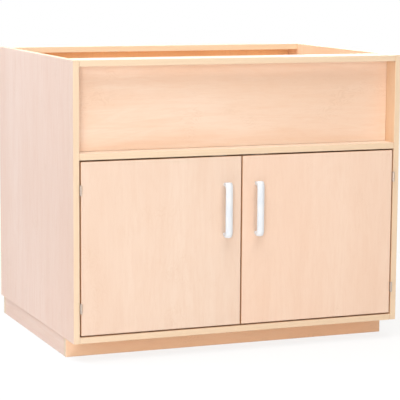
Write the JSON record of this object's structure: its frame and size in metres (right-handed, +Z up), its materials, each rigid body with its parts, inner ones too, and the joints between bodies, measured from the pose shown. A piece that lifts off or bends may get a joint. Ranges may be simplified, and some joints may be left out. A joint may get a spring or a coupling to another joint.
{
  "type": "vanity unit",
  "caption": "Open-topped vanity base cabinet with inset hinged doors, bow handles, a recessed apron panel above them and an inset plinth, ready for a worktop or basin.",
  "frame": {"origin": "on the floor, under the middle of the whole unit with its handles", "axes": "+X to the right as seen from the front, -Y out of the front, +Z up"},
  "size_m": [0.9, 0.713, 0.756],
  "materials": {
    "maple_board": "satin melamine-faced chipboard with a pale maple decor and cream edge banding",
    "maple_door": "satin melamine-faced chipboard with a pale maple decor, grain upright",
    "handle_white": "smooth white, softly glossy",
    "hinge_steel": "plated steel",
    "catch_plastic": "moulded off-white plastic",
    "strike_steel": "plated steel"
  },
  "bodies": {
    "cabinet": {"side_panel_left": "maple_board", "side_panel_right": "maple_board", "bottom_panel": "maple_board", "middle_shelf": "maple_board", "top_front_rail": "maple_board", "top_back_rail": "maple_board", "apron_panel": "maple_board", "back_panel": "maple_board", "plinth_front": "maple_board", "plinth_back": "maple_board", "plinth_left": "maple_board", "plinth_right": "maple_board", "hinge_left_top_frame_leaf": "hinge_steel", "hinge_left_top_pin": "hinge_steel", "hinge_left_bottom_frame_leaf": "hinge_steel", "hinge_left_bottom_pin": "hinge_steel", "hinge_right_top_frame_leaf": "hinge_steel", "hinge_right_top_pin": "hinge_steel", "hinge_right_bottom_frame_leaf": "hinge_steel", "hinge_right_bottom_pin": "hinge_steel", "catch_left": "catch_plastic", "catch_right": "catch_plastic"},
    "left_door": {"door_left": "maple_door", "handle_left": "handle_white", "hinge_left_top_door_leaf": "hinge_steel", "hinge_left_bottom_door_leaf": "hinge_steel", "strike_left": "strike_steel"},
    "right_door": {"door_right": "maple_door", "handle_right": "handle_white", "hinge_right_top_door_leaf": "hinge_steel", "hinge_right_bottom_door_leaf": "hinge_steel", "strike_right": "strike_steel"}
  },
  "joints": [
    {"name": "left_door_hinge", "type": "hinge", "parent": "cabinet", "child": "left_door", "pos_m": [-0.432, -0.334, 0.288], "axis": [0, 0, -1], "range_deg": [0, 180]},
    {"name": "right_door_hinge", "type": "hinge", "parent": "cabinet", "child": "right_door", "pos_m": [0.432, -0.334, 0.288], "axis": [0, 0, 1], "range_deg": [0, 180]}
  ]
}
